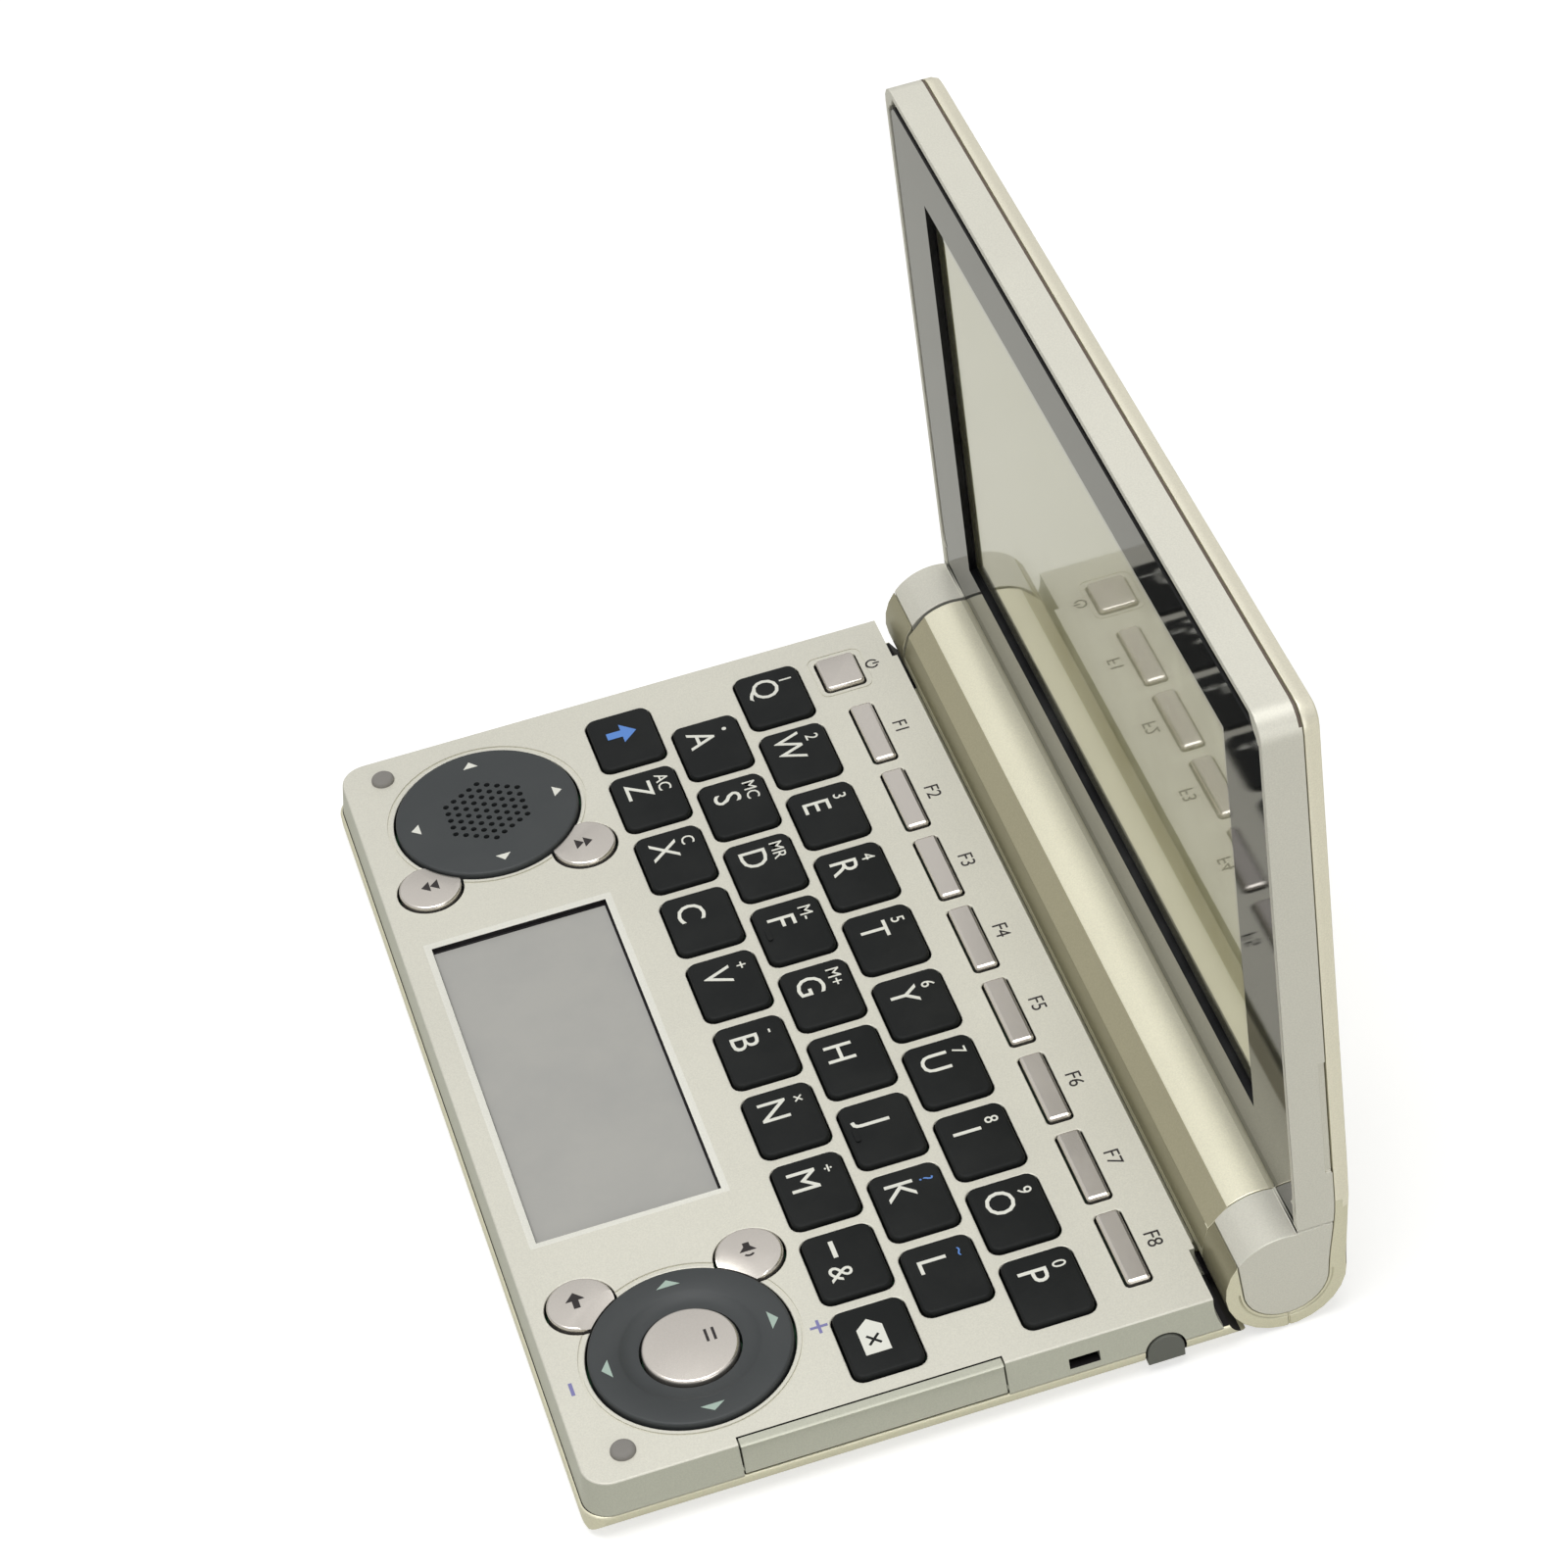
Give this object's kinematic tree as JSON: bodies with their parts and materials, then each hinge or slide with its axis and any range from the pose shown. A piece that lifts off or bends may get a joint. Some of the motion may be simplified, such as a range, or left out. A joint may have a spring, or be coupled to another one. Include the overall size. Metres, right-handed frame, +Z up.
{
  "type": "electronic dictionary",
  "caption": "Clamshell pocket electronic dictionary: letter keyboard, touch display and round cursor pad on the base, main display in a lid that turns on a barrel hinge.",
  "frame": {"origin": "on the table, under the middle of the dictionary's outline with its lid upright", "axes": "+X along the hinge towards the stylus side, +Y from the front edge to the hinge, +Z up"},
  "size_m": [0.148, 0.104, 0.1029],
  "materials": {
    "silver_case": "silver paint over moulded plastic, satin, warm grey",
    "gold_case": "pale gold metallic paint over moulded plastic, semi-gloss",
    "key_black": "charcoal caps, satin top with glossy sides and light legends",
    "pad_grey": "dark grey satin",
    "plated_button": "bright silver plating with a faint warm tint",
    "window_sheet": "clear glossy sheet with a grey printed border",
    "display_panel": "pale grey-green liquid crystal panel in a black frame",
    "touch_panel": "matte grey touch film",
    "board": "green board with a speaker and sockets",
    "cell_can": null,
    "shaft_steel": "turned steel",
    "stylus_grey": "grey plastic"
  },
  "bodies": {
    "base": {"top_case": "silver_case", "bottom_case": "gold_case", "battery_barrel": "gold_case", "batteries": "cell_can", "circuit_board": "board", "sub_display": "touch_panel", "hinge_shaft_left": "shaft_steel", "hinge_shaft_right": "shaft_steel"},
    "lid": {"lid_frame": "silver_case", "lid_cover": "gold_case", "main_display": "display_panel", "display_window": "window_sheet"},
    "port_cover": {"port_cover": "silver_case"},
    "battery_cover": {"battery_cover": "gold_case"},
    "stylus": {"stylus": "stylus_grey"},
    "left_pad": {"left_pad": "pad_grey"},
    "direction_pad": {"direction_pad": "pad_grey"},
    "enter_button": {"enter_button": "plated_button"},
    "page_back_button": {"page_back_button": "plated_button"},
    "page_forward_button": {"page_forward_button": "plated_button"},
    "return_button": {"return_button": "plated_button"},
    "voice_button": {"voice_button": "plated_button"},
    "power_key": {"power_key": "plated_button"},
    "function_key_1": {"function_key_1": "plated_button"},
    "function_key_2": {"function_key_2": "plated_button"},
    "function_key_3": {"function_key_3": "plated_button"},
    "function_key_4": {"function_key_4": "plated_button"},
    "function_key_5": {"function_key_5": "plated_button"},
    "function_key_6": {"function_key_6": "plated_button"},
    "function_key_7": {"function_key_7": "plated_button"},
    "function_key_8": {"function_key_8": "plated_button"},
    "key_q": {"key_q": "key_black"},
    "key_w": {"key_w": "key_black"},
    "key_e": {"key_e": "key_black"},
    "key_r": {"key_r": "key_black"},
    "key_t": {"key_t": "key_black"},
    "key_y": {"key_y": "key_black"},
    "key_u": {"key_u": "key_black"},
    "key_i": {"key_i": "key_black"},
    "key_o": {"key_o": "key_black"},
    "key_p": {"key_p": "key_black"},
    "key_a": {"key_a": "key_black"},
    "key_s": {"key_s": "key_black"},
    "key_d": {"key_d": "key_black"},
    "key_f": {"key_f": "key_black"},
    "key_g": {"key_g": "key_black"},
    "key_h": {"key_h": "key_black"},
    "key_j": {"key_j": "key_black"},
    "key_k": {"key_k": "key_black"},
    "key_l": {"key_l": "key_black"},
    "key_shift": {"key_shift": "key_black"},
    "key_z": {"key_z": "key_black"},
    "key_x": {"key_x": "key_black"},
    "key_c": {"key_c": "key_black"},
    "key_v": {"key_v": "key_black"},
    "key_b": {"key_b": "key_black"},
    "key_n": {"key_n": "key_black"},
    "key_m": {"key_m": "key_black"},
    "key_symbol": {"key_symbol": "key_black"},
    "key_delete": {"key_delete": "key_black"}
  },
  "joints": [
    {"name": "lid_hinge", "type": "hinge", "parent": "base", "child": "lid", "pos_m": [0, 0.0424, 0.0086], "axis": [-1, 0, 0], "range_deg": [-90, 65]},
    {"name": "port_cover_hinge", "type": "hinge", "parent": "base", "child": "port_cover", "pos_m": [0.0733, -0.0132, 0.0051], "axis": [0, 1, 0], "range_deg": [0, 90]},
    {"name": "battery_cover_slide", "type": "slide", "parent": "base", "child": "battery_cover", "axis": [0, 0, -1], "range_m": [0, 0.012]},
    {"name": "stylus_slide", "type": "slide", "parent": "base", "child": "stylus", "axis": [1, 0, 0], "range_m": [0, 0.088]},
    {"name": "left_pad_tilt", "type": "hinge", "parent": "base", "child": "left_pad", "pos_m": [-0.05531, -0.0322, 0.0074], "axis": [1, 0, 0], "range_deg": [-1.6, 1.6], "stiffness_Nm_per_rad": 0.5},
    {"name": "direction_pad_tilt", "type": "hinge", "parent": "base", "child": "direction_pad", "pos_m": [0.05531, -0.0322, 0.0074], "axis": [1, 0, 0], "range_deg": [-1.6, 1.6], "stiffness_Nm_per_rad": 0.5},
    {"name": "enter_button_press", "type": "slide", "parent": "base", "child": "enter_button", "axis": [0, 0, -1], "range_m": [0, 0.0005], "stiffness_N_per_m": 200, "springref_m": -0.001},
    {"name": "page_back_button_press", "type": "slide", "parent": "base", "child": "page_back_button", "axis": [0, 0, -1], "range_m": [0, 0.0005], "stiffness_N_per_m": 200, "springref_m": -0.001},
    {"name": "page_forward_button_press", "type": "slide", "parent": "base", "child": "page_forward_button", "axis": [0, 0, -1], "range_m": [0, 0.0005], "stiffness_N_per_m": 200, "springref_m": -0.001},
    {"name": "return_button_press", "type": "slide", "parent": "base", "child": "return_button", "axis": [0, 0, -1], "range_m": [0, 0.0005], "stiffness_N_per_m": 200, "springref_m": -0.001},
    {"name": "voice_button_press", "type": "slide", "parent": "base", "child": "voice_button", "axis": [0, 0, -1], "range_m": [0, 0.0005], "stiffness_N_per_m": 200, "springref_m": -0.001},
    {"name": "power_key_press", "type": "slide", "parent": "base", "child": "power_key", "axis": [0, 0, -1], "range_m": [0, 0.0005], "stiffness_N_per_m": 200, "springref_m": -0.001},
    {"name": "function_key_1_press", "type": "slide", "parent": "base", "child": "function_key_1", "axis": [0, 0, -1], "range_m": [0, 0.0005], "stiffness_N_per_m": 200, "springref_m": -0.001},
    {"name": "function_key_2_press", "type": "slide", "parent": "base", "child": "function_key_2", "axis": [0, 0, -1], "range_m": [0, 0.0005], "stiffness_N_per_m": 200, "springref_m": -0.001},
    {"name": "function_key_3_press", "type": "slide", "parent": "base", "child": "function_key_3", "axis": [0, 0, -1], "range_m": [0, 0.0005], "stiffness_N_per_m": 200, "springref_m": -0.001},
    {"name": "function_key_4_press", "type": "slide", "parent": "base", "child": "function_key_4", "axis": [0, 0, -1], "range_m": [0, 0.0005], "stiffness_N_per_m": 200, "springref_m": -0.001},
    {"name": "function_key_5_press", "type": "slide", "parent": "base", "child": "function_key_5", "axis": [0, 0, -1], "range_m": [0, 0.0005], "stiffness_N_per_m": 200, "springref_m": -0.001},
    {"name": "function_key_6_press", "type": "slide", "parent": "base", "child": "function_key_6", "axis": [0, 0, -1], "range_m": [0, 0.0005], "stiffness_N_per_m": 200, "springref_m": -0.001},
    {"name": "function_key_7_press", "type": "slide", "parent": "base", "child": "function_key_7", "axis": [0, 0, -1], "range_m": [0, 0.0005], "stiffness_N_per_m": 200, "springref_m": -0.001},
    {"name": "function_key_8_press", "type": "slide", "parent": "base", "child": "function_key_8", "axis": [0, 0, -1], "range_m": [0, 0.0005], "stiffness_N_per_m": 200, "springref_m": -0.001},
    {"name": "key_q_press", "type": "slide", "parent": "base", "child": "key_q", "axis": [0, 0, -1], "range_m": [0, 0.0005], "stiffness_N_per_m": 200, "springref_m": -0.001},
    {"name": "key_w_press", "type": "slide", "parent": "base", "child": "key_w", "axis": [0, 0, -1], "range_m": [0, 0.0005], "stiffness_N_per_m": 200, "springref_m": -0.001},
    {"name": "key_e_press", "type": "slide", "parent": "base", "child": "key_e", "axis": [0, 0, -1], "range_m": [0, 0.0005], "stiffness_N_per_m": 200, "springref_m": -0.001},
    {"name": "key_r_press", "type": "slide", "parent": "base", "child": "key_r", "axis": [0, 0, -1], "range_m": [0, 0.0005], "stiffness_N_per_m": 200, "springref_m": -0.001},
    {"name": "key_t_press", "type": "slide", "parent": "base", "child": "key_t", "axis": [0, 0, -1], "range_m": [0, 0.0005], "stiffness_N_per_m": 200, "springref_m": -0.001},
    {"name": "key_y_press", "type": "slide", "parent": "base", "child": "key_y", "axis": [0, 0, -1], "range_m": [0, 0.0005], "stiffness_N_per_m": 200, "springref_m": -0.001},
    {"name": "key_u_press", "type": "slide", "parent": "base", "child": "key_u", "axis": [0, 0, -1], "range_m": [0, 0.0005], "stiffness_N_per_m": 200, "springref_m": -0.001},
    {"name": "key_i_press", "type": "slide", "parent": "base", "child": "key_i", "axis": [0, 0, -1], "range_m": [0, 0.0005], "stiffness_N_per_m": 200, "springref_m": -0.001},
    {"name": "key_o_press", "type": "slide", "parent": "base", "child": "key_o", "axis": [0, 0, -1], "range_m": [0, 0.0005], "stiffness_N_per_m": 200, "springref_m": -0.001},
    {"name": "key_p_press", "type": "slide", "parent": "base", "child": "key_p", "axis": [0, 0, -1], "range_m": [0, 0.0005], "stiffness_N_per_m": 200, "springref_m": -0.001},
    {"name": "key_a_press", "type": "slide", "parent": "base", "child": "key_a", "axis": [0, 0, -1], "range_m": [0, 0.0005], "stiffness_N_per_m": 200, "springref_m": -0.001},
    {"name": "key_s_press", "type": "slide", "parent": "base", "child": "key_s", "axis": [0, 0, -1], "range_m": [0, 0.0005], "stiffness_N_per_m": 200, "springref_m": -0.001},
    {"name": "key_d_press", "type": "slide", "parent": "base", "child": "key_d", "axis": [0, 0, -1], "range_m": [0, 0.0005], "stiffness_N_per_m": 200, "springref_m": -0.001},
    {"name": "key_f_press", "type": "slide", "parent": "base", "child": "key_f", "axis": [0, 0, -1], "range_m": [0, 0.0005], "stiffness_N_per_m": 200, "springref_m": -0.001},
    {"name": "key_g_press", "type": "slide", "parent": "base", "child": "key_g", "axis": [0, 0, -1], "range_m": [0, 0.0005], "stiffness_N_per_m": 200, "springref_m": -0.001},
    {"name": "key_h_press", "type": "slide", "parent": "base", "child": "key_h", "axis": [0, 0, -1], "range_m": [0, 0.0005], "stiffness_N_per_m": 200, "springref_m": -0.001},
    {"name": "key_j_press", "type": "slide", "parent": "base", "child": "key_j", "axis": [0, 0, -1], "range_m": [0, 0.0005], "stiffness_N_per_m": 200, "springref_m": -0.001},
    {"name": "key_k_press", "type": "slide", "parent": "base", "child": "key_k", "axis": [0, 0, -1], "range_m": [0, 0.0005], "stiffness_N_per_m": 200, "springref_m": -0.001},
    {"name": "key_l_press", "type": "slide", "parent": "base", "child": "key_l", "axis": [0, 0, -1], "range_m": [0, 0.0005], "stiffness_N_per_m": 200, "springref_m": -0.001},
    {"name": "key_shift_press", "type": "slide", "parent": "base", "child": "key_shift", "axis": [0, 0, -1], "range_m": [0, 0.0005], "stiffness_N_per_m": 200, "springref_m": -0.001},
    {"name": "key_z_press", "type": "slide", "parent": "base", "child": "key_z", "axis": [0, 0, -1], "range_m": [0, 0.0005], "stiffness_N_per_m": 200, "springref_m": -0.001},
    {"name": "key_x_press", "type": "slide", "parent": "base", "child": "key_x", "axis": [0, 0, -1], "range_m": [0, 0.0005], "stiffness_N_per_m": 200, "springref_m": -0.001},
    {"name": "key_c_press", "type": "slide", "parent": "base", "child": "key_c", "axis": [0, 0, -1], "range_m": [0, 0.0005], "stiffness_N_per_m": 200, "springref_m": -0.001},
    {"name": "key_v_press", "type": "slide", "parent": "base", "child": "key_v", "axis": [0, 0, -1], "range_m": [0, 0.0005], "stiffness_N_per_m": 200, "springref_m": -0.001},
    {"name": "key_b_press", "type": "slide", "parent": "base", "child": "key_b", "axis": [0, 0, -1], "range_m": [0, 0.0005], "stiffness_N_per_m": 200, "springref_m": -0.001},
    {"name": "key_n_press", "type": "slide", "parent": "base", "child": "key_n", "axis": [0, 0, -1], "range_m": [0, 0.0005], "stiffness_N_per_m": 200, "springref_m": -0.001},
    {"name": "key_m_press", "type": "slide", "parent": "base", "child": "key_m", "axis": [0, 0, -1], "range_m": [0, 0.0005], "stiffness_N_per_m": 200, "springref_m": -0.001},
    {"name": "key_symbol_press", "type": "slide", "parent": "base", "child": "key_symbol", "axis": [0, 0, -1], "range_m": [0, 0.0005], "stiffness_N_per_m": 200, "springref_m": -0.001},
    {"name": "key_delete_press", "type": "slide", "parent": "base", "child": "key_delete", "axis": [0, 0, -1], "range_m": [0, 0.0005], "stiffness_N_per_m": 200, "springref_m": -0.001}
  ]
}
